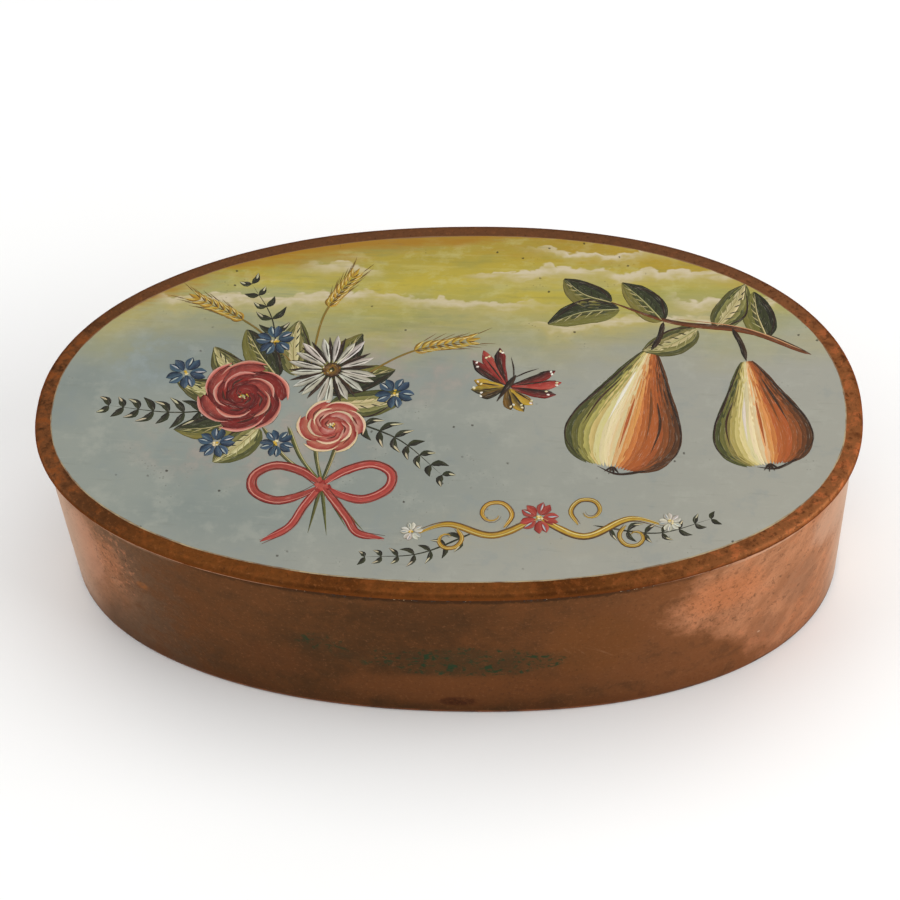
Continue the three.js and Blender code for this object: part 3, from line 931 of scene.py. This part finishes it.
class Painter:
    """Collects strokes, in millimetres on the lid, and makes one mesh of them."""

    def __init__(self, seed):
        self.random = random.Random(seed)
        self.points, self.faces, self.colours, self.places = [], [], [], []

    def jitter(self, amount):
        return self.random.uniform(-amount, amount)

    def shade(self, colour, amount=0.07):
        grow = 1 + self.jitter(amount)
        return tuple(min(255, max(0, c * grow * (1 + self.jitter(amount * 0.4)))) for c in colour)

    def stroke(self, points, width, near, far, layer, press, lift, aside=0.0):
        """A stroke through points, or aside of them to the left.

        Near and far are the colours at its right and left edges. Press and lift are the shares of its length
        over which it broadens and narrows.
        """
        near, far = self.shade(near), self.shade(far)
        rough = sum(math.dist(a, b) for a, b in zip(points, points[1:]))
        count = int(min(40, max(7, rough + 4)))
        spine, length = curve_through(points, count)
        ahead = np.gradient(spine, axis=0)
        ahead /= np.linalg.norm(ahead, axis=1, keepdims=True) + 1e-9
        side = np.stack([-ahead[:, 1], ahead[:, 0]], -1)
        spine = spine + side * aside
        first, across, offset = len(self.points), len(SECTION_SHARES), self.random.uniform(0, 50)
        for i in range(count):
            t = i / (count - 1)
            full = min(1, (t / press) ** 0.5) * min(1, ((1 - t) / lift) ** 0.75)
            half = width / 2 * max(0.06, full) * (1 + self.jitter(0.05))
            tall = RELIEF * max(0.15, full) * (1 + self.jitter(0.16))
            for v, h in SECTION_SHARES:
                x, y = spine[i] + side[i] * v * half
                z = GROUND_TOP + layer * LAYER + (h * tall if h > 0 else h * (SUNK + layer * LAYER))
                self.points.append((x * MM, y * MM, min(z, PAINT_TOP)))
                share = min(1, max(0, 0.5 - v / 2 + self.jitter(0.12)))
                self.colours.append(rgb(*[n * share + f * (1 - share) for n, f in zip(near, far)]))
                self.places.append((offset + t * length * 0.2, offset + v * half))
        for i in range(count - 1):
            a, b = first + i * across, first + (i + 1) * across
            for j in range(across):
                k = (j + 1) % across
                self.faces.append((a + j, a + k, b + k, b + j))
        self.faces.append(tuple(first + j for j in reversed(range(across))))
        self.faces.append(tuple(first + (count - 1) * across + j for j in range(across)))

    def make(self, name, material):
        data = bpy.data.meshes.new(name)
        data.from_pydata(self.points, [], self.faces)
        tint = data.color_attributes.new(name="stroke", type="FLOAT_COLOR", domain="POINT")
        tint.data.foreach_set("color", np.array(self.colours, "f").ravel())
        lay_map(data, "along", np.array(self.places))
        data.shade_smooth()
        dress(add_object(name, data), "lid", "paint", material)

    def fill(self, form, shades, strokes, layer, width, lift=0.25):
        """Strokes from a form's base to its tip, side by side from the left, from one shade to the next."""
        for k in range(strokes):
            q = 1 - 2 * (k + 0.5) / strokes
            shade, after = blended(shades, k / strokes), blended(shades, (k + 1) / strokes)
            points = [form.spot(u, q) + (self.jitter(0.12), self.jitter(0.12))
                      for u in (0.02, 0.15, 0.3, 0.5, 0.7, 0.85, 0.93, 0.98)]
            self.stroke(points, width, shade, after, layer, 0.2, lift)


def leaf(p, base, angle, length, breadth):
    def spread(u):
        return breadth / 2 * math.sin(math.pi * u ** 0.8) ** 0.9

    form = Form(base, angle, length, spread, p.jitter(length * 0.12))
    folded = p.random.random() < 0.6
    shades = (OLIVE, OLIVE, MOSS, MOSS, BLACK) if folded else (MOSS, OLIVE, CREAM, OLIVE, MOSS)
    p.fill(form, shades, 6, 0, breadth / 3.6)
    spot = form.spot
    p.stroke([spot(0, 0), spot(0.5, 0.02), spot(0.97, 0)], 0.4, CREAM, OLIVE, 1, 0.1, 0.7)
    for u in (0.22, 0.36, 0.5, 0.64, 0.76):
        reach = 0.55 + p.jitter(0.15)
        p.stroke([spot(u, 0.08), spot(u + 0.14, reach)], 0.36, CREAM, OLIVE, 1, 0.3, 0.7)
        p.stroke([spot(u, -0.08), spot(u + 0.12, -reach)], 0.36, BLACK, MOSS, 1, 0.3, 0.7)
    p.stroke([spot(0.05, -1.0), spot(0.45, -1.05), spot(0.98, 0)], 0.5, BLACK, UMBER, 1, 0.3, 0.6)


def sprig(p, points, pairs, size):
    """A thin stem with small leaves along it in pairs."""
    p.stroke(points, 0.5, BLACK, MOSS, 0, 0.1, 0.8)
    spine, _ = curve_through(points, pairs + 2)
    for i in range(1, pairs + 2):
        heading = heading_at(spine, i)
        shrink = 1 - 0.45 * i / (pairs + 1)
        for turn in (48, -48):
            reach = size * shrink * (1 + p.jitter(0.15))
            end = off(spine[i], heading + turn + p.jitter(8), reach)
            mid = off(spine[i], heading + turn * 1.3, reach * 0.5)
            p.stroke([spine[i], mid, end], size * 0.3, BLACK, MOSS, 0, 0.4, 0.6)
            if p.random.random() < 0.5:
                p.stroke([mid, end], size * 0.09, CREAM, STONE, 1, 0.3, 0.6)


def wheat(p, points):
    """A stalk with an ear of wheat at its end."""
    size, steps, ear = 3.4, 40, 15
    p.stroke(points, 0.55, OCHRE, OLIVE, 1, 0.1, 0.4)
    spine, _ = curve_through(points, steps)
    for i in range(steps - ear, steps, 2):
        foot, heading = spine[i], heading_at(spine, i)
        for turn, side in ((26, OCHRE), (-26, UMBER)):
            end = off(foot, heading + turn + p.jitter(6), size * (1 + p.jitter(0.1)))
            aslant = heading + turn * 1.5
            p.stroke([foot, off(foot, aslant, size * 0.5), end], size * 0.36, GOLD, side, 2, 0.5, 0.6)
            p.stroke([end, off(end, heading + turn * 0.6, size * 1.1)], 0.22, OCHRE, UMBER, 1, 0.2, 0.8)
            p.stroke([off(foot, aslant, size * 0.35), end], size * 0.1, CREAM, GOLD, 3, 0.4, 0.6)
    p.stroke([spine[-1], off(spine[-1], heading, size)], size * 0.36, GOLD, OCHRE, 2, 0.5, 0.6)


def arc_stroke(p, centre, radius, start, sweep, width, near, far, layer, press=0.35, lift=0.45):
    angles = [start + sweep * s for s in (0, 0.25, 0.5, 0.75, 1)]
    points = [off(centre, a, radius * (1 + p.jitter(0.03))) for a in angles]
    p.stroke(points, width, near, far, layer, press, lift)


def rose(p, centre, size, dark=MAROON, middle=BRICK, light=ROSE, edge=BLUSH):
    """Comma strokes laid round each other over a dark disc, most with a thin light at the outer edge."""
    for radius, sweep in ((0.62, 130), (0.3, 150)):
        for k in range(4):
            arc_stroke(p, centre, size * radius, 90 * k, sweep, size * 0.5, dark, middle, 2, 0.3, 0.3)
    rings = (0.92, 0.6, 6, 0.38, 3), (0.6, 0.3, 5, 0.3, 4), (0.32, 0.1, 3, 0.24, 4)
    for outer, inner, petals, width, layer in rings:
        phase = p.random.uniform(0, 360)
        for k in range(petals):
            start = phase + 360 / petals * k + p.jitter(9)
            spread = 360 / petals * 1.35
            points = [off(centre, start + spread * t, size * (outer + (inner - outer) * t ** 2.2))
                      for t in (0, 0.3, 0.6, 0.85, 1)]
            shade = p.random.choice((middle, middle, light))
            p.stroke(points, size * width, dark, shade, layer, 0.3, 0.55)
            if petals > 3:
                p.stroke(points[:4], size * 0.1, edge, light, layer + 1, 0.4, 0.6, -size * width * 0.36)
            if p.random.random() < 0.6:
                p.stroke(points[1:4], size * 0.07, dark, UMBER, layer + 1, 0.4, 0.6, size * width * 0.2)
    dots(p, centre, size * 0.13, 9, 0.6, (GOLD, CREAM, UMBER), 5)


def daisy(p, centre, size, petals):
    """Dark strokes, pale petals over them and a brown eye."""
    for k in range(petals):
        angle = 360 / petals * (k + 0.5) + p.jitter(5)
        points = [off(centre, angle, size * r) for r in (0.24, 0.6, 0.96)]
        p.stroke(points, size * 0.13, BLACK, UMBER, 2, 0.3, 0.5)
    for k in range(petals):
        angle, sway = 360 / petals * k + p.jitter(5), p.jitter(7)
        reach = 1 + p.jitter(0.09)
        points = [off(centre, angle + sway * r, size * r * reach) for r in (0.22, 0.5, 0.78, 1.0)]
        p.stroke(points, size * 0.17, WHITE, STONE, 3, 0.7, 0.3)
        points = [off(centre, angle + sway * r - 2, size * r * reach) for r in (0.4, 0.7, 0.9)]
        p.stroke(points, size * 0.045, BLACK, STONE, 4, 0.4, 0.6)
    for k in range(9):
        arc_stroke(p, centre, size * 0.13, 40 * k, 70, size * 0.16, UMBER, OCHRE, 4)
    dots(p, centre, size * 0.17, 14, 0.75, (GOLD, OCHRE, CREAM, UMBER), 4)


def dots(p, centre, reach, count, size, colours, layer):
    for _ in range(count):
        start = off(centre, p.random.uniform(0, 360), reach * p.random.random() ** 0.5)
        colour = p.random.choice(colours)
        end = off(start, p.random.uniform(0, 360), size * 0.7)
        p.stroke([start, end], size, colour, colour, layer, 0.45, 0.45)


def small_flower(p, centre, size, near=NAVY, far=BLUE):
    """Five petals, each of two strokes and a light."""
    phase = p.random.uniform(0, 72)
    for k in range(5):
        angle = phase + 72 * k
        for turn in (-15, 15):
            steps = (0.4, 0.2), (1, 0.6), (0.7, 1)
            points = [off(centre, angle + turn * swing, size * r) for swing, r in steps]
            p.stroke(points, size * 0.42, near, far, 3, 0.5, 0.3)
        p.stroke([off(centre, angle + 12, size * 0.45), off(centre, angle + 10, size * 0.95)], size * 0.11,
                 WHITE, BLUE, 4, 0.4, 0.5)
    dots(p, centre, size * 0.14, 5, 0.8, (GOLD, CREAM), 5)


def pear(p, stem, angle, length, radius, layer):
    def spread(u):
        return radius * float(np.interp(u, np.linspace(0, 1, len(PEAR_SHARES)), PEAR_SHARES))

    form = Form(stem, angle, length, spread)
    spot = form.spot
    shades = (UMBER, BROWN, RUST, RUST, (196, 128, 66), CREAM, CREAM, (176, 160, 92), OLIVE, MOSS)
    p.fill(form, shades, 19, layer, radius * 0.17, 0.1)
    for q, shade, width in ((-0.35, WHITE, 0.9), (-0.28, CREAM, 1.2), (0.15, (206, 140, 76), 1.0),
                            (0.6, UMBER, 0.8), (0.42, BROWN, 0.8), (-0.75, UMBER, 0.6), (0.0, RUST, 0.8)):
        low = 0.3 + p.jitter(0.12)
        points = [spot(low, q), spot(low + 0.2, q * 1.04), spot(low + 0.42, q)]
        p.stroke(points, width, shade, shade, layer + 1, 0.5, 0.6)
    for q in (1.02, -1.02):
        points = [spot(u, q) for u in (0.03, 0.2, 0.4, 0.6, 0.8, 0.95)]
        p.stroke(points, 0.6, BLACK, UMBER, layer + 1, 0.4, 0.5)
    p.stroke([spot(0.95, 1), spot(1.02, 0.3), spot(0.99, -0.6)], 0.7, BLACK, UMBER, layer + 1, 0.3, 0.5)
    for turn in (-40, -10, 20, 48):
        points = [spot(0.97, 0), off(spot(0.97, 0), angle + turn, 2.4)]
        p.stroke(points, 0.6, BLACK, UMBER, layer + 2, 0.3, 0.6)


def scroll(p, points, width):
    """A gold flourish: a broad stroke with a dark side, and a thin light along it."""
    p.stroke(points, width, GOLD, OCHRE, 1, 0.2, 0.4)
    p.stroke(points, width * 0.28, UMBER, OCHRE, 2, 0.2, 0.5, -width * 0.46)
    p.stroke(points, width * 0.18, CREAM, GOLD, 3, 0.2, 0.5, width * 0.16)


def curl(p, centre, radius, start, sweep, width):
    points = [off(centre, start + sweep * s, radius * (1 - 0.72 * s)) for s in np.linspace(0, 1, 8)]
    scroll(p, points, width)


def ribbon(p, points, width):
    p.stroke(points, width, BRICK, ROSE, 2, 0.15, 0.2)
    p.stroke(points, width * 0.16, BLUSH, ROSE, 3, 0.3, 0.5, -width * 0.22)
    p.stroke(points, width * 0.16, UMBER, BRICK, 3, 0.3, 0.5, width * 0.4)


def posy(material):
    """A tied bunch of flowers, left of the middle."""
    p = Painter(21)
    knot = (-27, -25)
    heart = (-36, -2)
    for angle, length in ((168, 24), (196, 23), (140, 22), (112, 22), (84, 22), (58, 23), (30, 22), (4, 24),
                          (224, 18)):
        leaf(p, off(heart, angle, 9), angle + p.jitter(8), length * 0.8, 7.2)
    wheat(p, [(-34, 8), (-46, 22), (-60, 31)])
    wheat(p, [(-32, 10), (-30, 26), (-24, 38)])
    wheat(p, [(-26, 2), (-10, 14), (4, 18)])
    sprig(p, [(-46, -2), (-62, -4), (-78, -2)], 8, 6.5)
    sprig(p, [(-22, -6), (-10, -12), (0, -22)], 6, 6)
    sprig(p, [(-40, 8), (-42, 24), (-48, 36)], 6, 6)
    for x, y in ((-42, -8), (-36, -8), (-30, -8), (-24, -10)):
        far = (knot[0] + (knot[0] - x) * 0.7, -38 + p.jitter(1.5))
        middle = x * 0.6 + knot[0] * 0.4
        p.stroke([(x, y), (middle, -17), knot, far], 0.9, MOSS, OLIVE, 0, 0.1, 0.3)
        p.stroke([(x + 0.5, y), (middle + 0.4, -17), knot], 0.3, CREAM, OLIVE, 1, 0.1, 0.5)
    rose(p, (-47, 1), 10)
    daisy(p, (-27, 9), 10.5, 17)
    rose(p, (-26, -8), 7.4, BRICK, (170, 104, 84), BLUSH, CREAM)
    for x, y, size in ((-61, 8, 4.8), (-41, 18, 4.6), (-12, 2, 4.6), (-52, -13, 4.4), (-38, -13, 4.0)):
        small_flower(p, (x, y), size)
    ribbon(p, [knot, (-32, -21), (-38, -19.5), (-42.5, -22.5), (-42, -27), (-37, -29.5), (-31.5, -28), knot],
           2.4)
    ribbon(p, [knot, (-22, -21), (-16, -19), (-11.5, -21.5), (-12, -26), (-17, -29), (-22, -28), knot], 2.4)
    ribbon(p, [knot, (-30.5, -31), (-33.5, -37), (-39.5, -41)], 2.0)
    ribbon(p, [knot, (-23.5, -30), (-20.5, -34.5), (-18, -38.5), (-12, -40)], 2.0)
    dots(p, knot, 1.4, 8, 1.8, (BRICK, ROSE), 3)
    p.make("painted_posy", material)


def fruit(material):
    """Two pears on a leafy twig, at the right."""
    p = Painter(5)
    p.stroke([(84, 14), (70, 21), (52, 24), (36, 31)], 1.6, UMBER, BROWN, 1, 0.1, 0.5)
    p.stroke([(82, 15.4), (69, 22), (53, 25)], 0.4, CREAM, RUST, 2, 0.2, 0.6)
    for x, y, angle, length in ((74, 19, 100, 15), (62, 22, 62, 16), (50, 24, 128, 16),
                                (40, 28, 196, 18), (38, 30, 146, 14), (58, 22, -152, 15)):
        leaf(p, (x, y), angle, length, 7)
    p.stroke([(50, 24), (49, 19), (47, 15)], 1.3, BLACK, UMBER, 1, 0.2, 0.2)
    pear(p, (47, 15.5), -104, 37, 13, 0)
    p.stroke([(66, 22), (68, 17), (69, 12)], 1.3, BLACK, UMBER, 2, 0.2, 0.2)
    pear(p, (69, 12.5), -82, 32, 11, 1)
    p.make("painted_fruit", material)


def garland(material):
    """A gold flourish with dark sprigs, along the front."""
    p = Painter(9)
    sprig(p, [(8, -38), (-4, -44), (-16, -45)], 6, 4.4)
    sprig(p, [(34, -36), (48, -38), (60, -34)], 6, 4.4)
    scroll(p, [(22, -34), (12, -39), (2, -36), (-6, -39)], 1.7)
    scroll(p, [(22, -34), (32, -39), (42, -34), (50, -36)], 1.7)
    curl(p, (12, -33), 4.5, -60, 400, 1.1)
    curl(p, (33, -32), 4.5, 240, -400, 1.1)
    curl(p, (2, -40), 3.6, 60, -380, 1.0)
    curl(p, (43, -39), 3.6, 120, 380, 1.0)
    small_flower(p, (22, -34), 4.4, BRICK, ROSE)
    small_flower(p, (-6, -38), 2.6, WHITE, STONE)
    small_flower(p, (51, -35), 2.6, WHITE, STONE)
    p.make("painted_garland", material)


def butterfly(material):
    """A small butterfly in the middle, with its wings spread."""
    p = Painter(14)
    body = (14, 4)
    heading = 62
    for side in (1, -1):
        for turn, reach, shade, other in ((38, 12, BRICK, BLACK), (56, 12.5, ROSE, BRICK),
                                          (74, 11.5, BRICK, BLACK), (104, 8, GOLD, OCHRE),
                                          (124, 8.4, GOLD, BLACK), (144, 7, OCHRE, BLACK)):
            angle = heading + side * turn
            steps = (angle, 0.8), (angle + side * 5, reach * 0.55), (angle, reach)
            p.stroke([off(body, *step) for step in steps], 2.9, shade, other, 1, 0.8, 0.25)
            vein = [off(body, angle + 6, 2), off(body, angle + 4, reach * 0.9)]
            p.stroke(vein, 0.4, BLACK, UMBER, 2, 0.3, 0.5)
            dots(p, off(body, angle, reach * 0.86), 0.8, 2, 0.8, (WHITE, CREAM), 3)
        feeler = heading + side * 16
        points = [off(body, heading, 3), off(body, feeler, 6), off(body, feeler + side * 8, 9)]
        p.stroke(points, 0.35, BLACK, UMBER, 2, 0.2, 0.4)
    p.stroke([off(body, heading, 4), body, off(body, heading + 180, 5)], 1.5, BLACK, UMBER, 3, 0.3, 0.6)
    p.make("painted_butterfly", material)


# The studio.
def make_stage():
    size = 3.0
    data = bpy.data.meshes.new("floor")
    corners = [(-size, -size, 0), (size, -size, 0), (size, size, 0), (-size, size, 0)]
    data.from_pydata(corners, [], [(0, 1, 2, 3)])
    data.materials.append(plain("floor", 9, (240, 240, 239), (243, 243, 242), 0.9))
    add_object("floor", data)


def area_light(name, where, aim, width, height, watts):
    data = bpy.data.lights.new(name, "AREA")
    data.shape = "RECTANGLE"
    data.size, data.size_y = width, height
    data.energy = watts
    light = add_object(name, data)
    light.location = where
    light.rotation_mode = "QUATERNION"
    light.rotation_quaternion = (Vector(aim) - Vector(where)).to_track_quat("-Z", "Y")


def make_light():
    centre = (0, 0, 0.02)
    area_light("left", (-1.0, -0.1, 0.55), centre, 0.9, 0.6, 4)
    area_light("right", (1.0, -0.2, 0.55), centre, 0.9, 0.6, 9)
    area_light("above", (0, 0.3, 1.3), centre, 1.2, 0.9, 6)
    world = bpy.data.worlds.new("world")
    bpy.context.scene.world = world
    world.use_nodes = True
    back = world.node_tree.nodes["Background"]
    back.inputs["Color"].default_value = (1, 1, 1, 1)
    back.inputs["Strength"].default_value = 0.52
    bpy.context.scene.view_settings.view_transform = "Standard"


def make_box():
    inside, filler = copper_inside(), solder()
    gap = SOLDER_GAP * 0.3
    make_wall(copper_wall())
    make_wall_seam(filler)
    make_base(copper_base())
    make_fillet("base_fillet", WALL_IN + WALL_LEAN + gap, BASE_TOP, BASE_SOLDER_LEG, 1, "body", filler,
                "base_solder")
    make_lid(copper_lid())
    make_collar(inside)
    make_fillet("collar_fillet", COLLAR_IN + gap, SHEET_UNDER, COLLAR_SOLDER_LEG, -1, "lid", filler,
                "collar_solder")
    make_coat("primer_layer", BORDER, LID_TOP, PRIMER_TOP, 3, 0.25 * MM, "primer", primer(), "primer_coat")
    make_coat("ground_layer", BORDER + PRIMER_SHOWS, PRIMER_TOP, GROUND_TOP, 11, 0.3 * MM, "paint", ground(),
              "paint_film")
    dark, pale = ((30, 20, 14), (66, 44, 28)), ((150, 112, 74), (206, 184, 144))
    make_crumbs("edge_grime", 4, 60, 0.4 * MM, plain("grime", 1500, *dark, 0.85))
    make_crumbs("edge_flecks", 8, 48, 0.25 * MM, plain("flecks", 1500, *pale, 0.85))
    for node, material in (("rim_wire", inside), ("collar_seam_solder", filler)):
        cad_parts[node].data.materials.clear()
        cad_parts[node].data.materials.append(material)


make_camera()
make_stage()
make_light()
make_box()
paint = stroke_paint()
for motif in (posy, fruit, garland, butterfly):
    motif(paint)
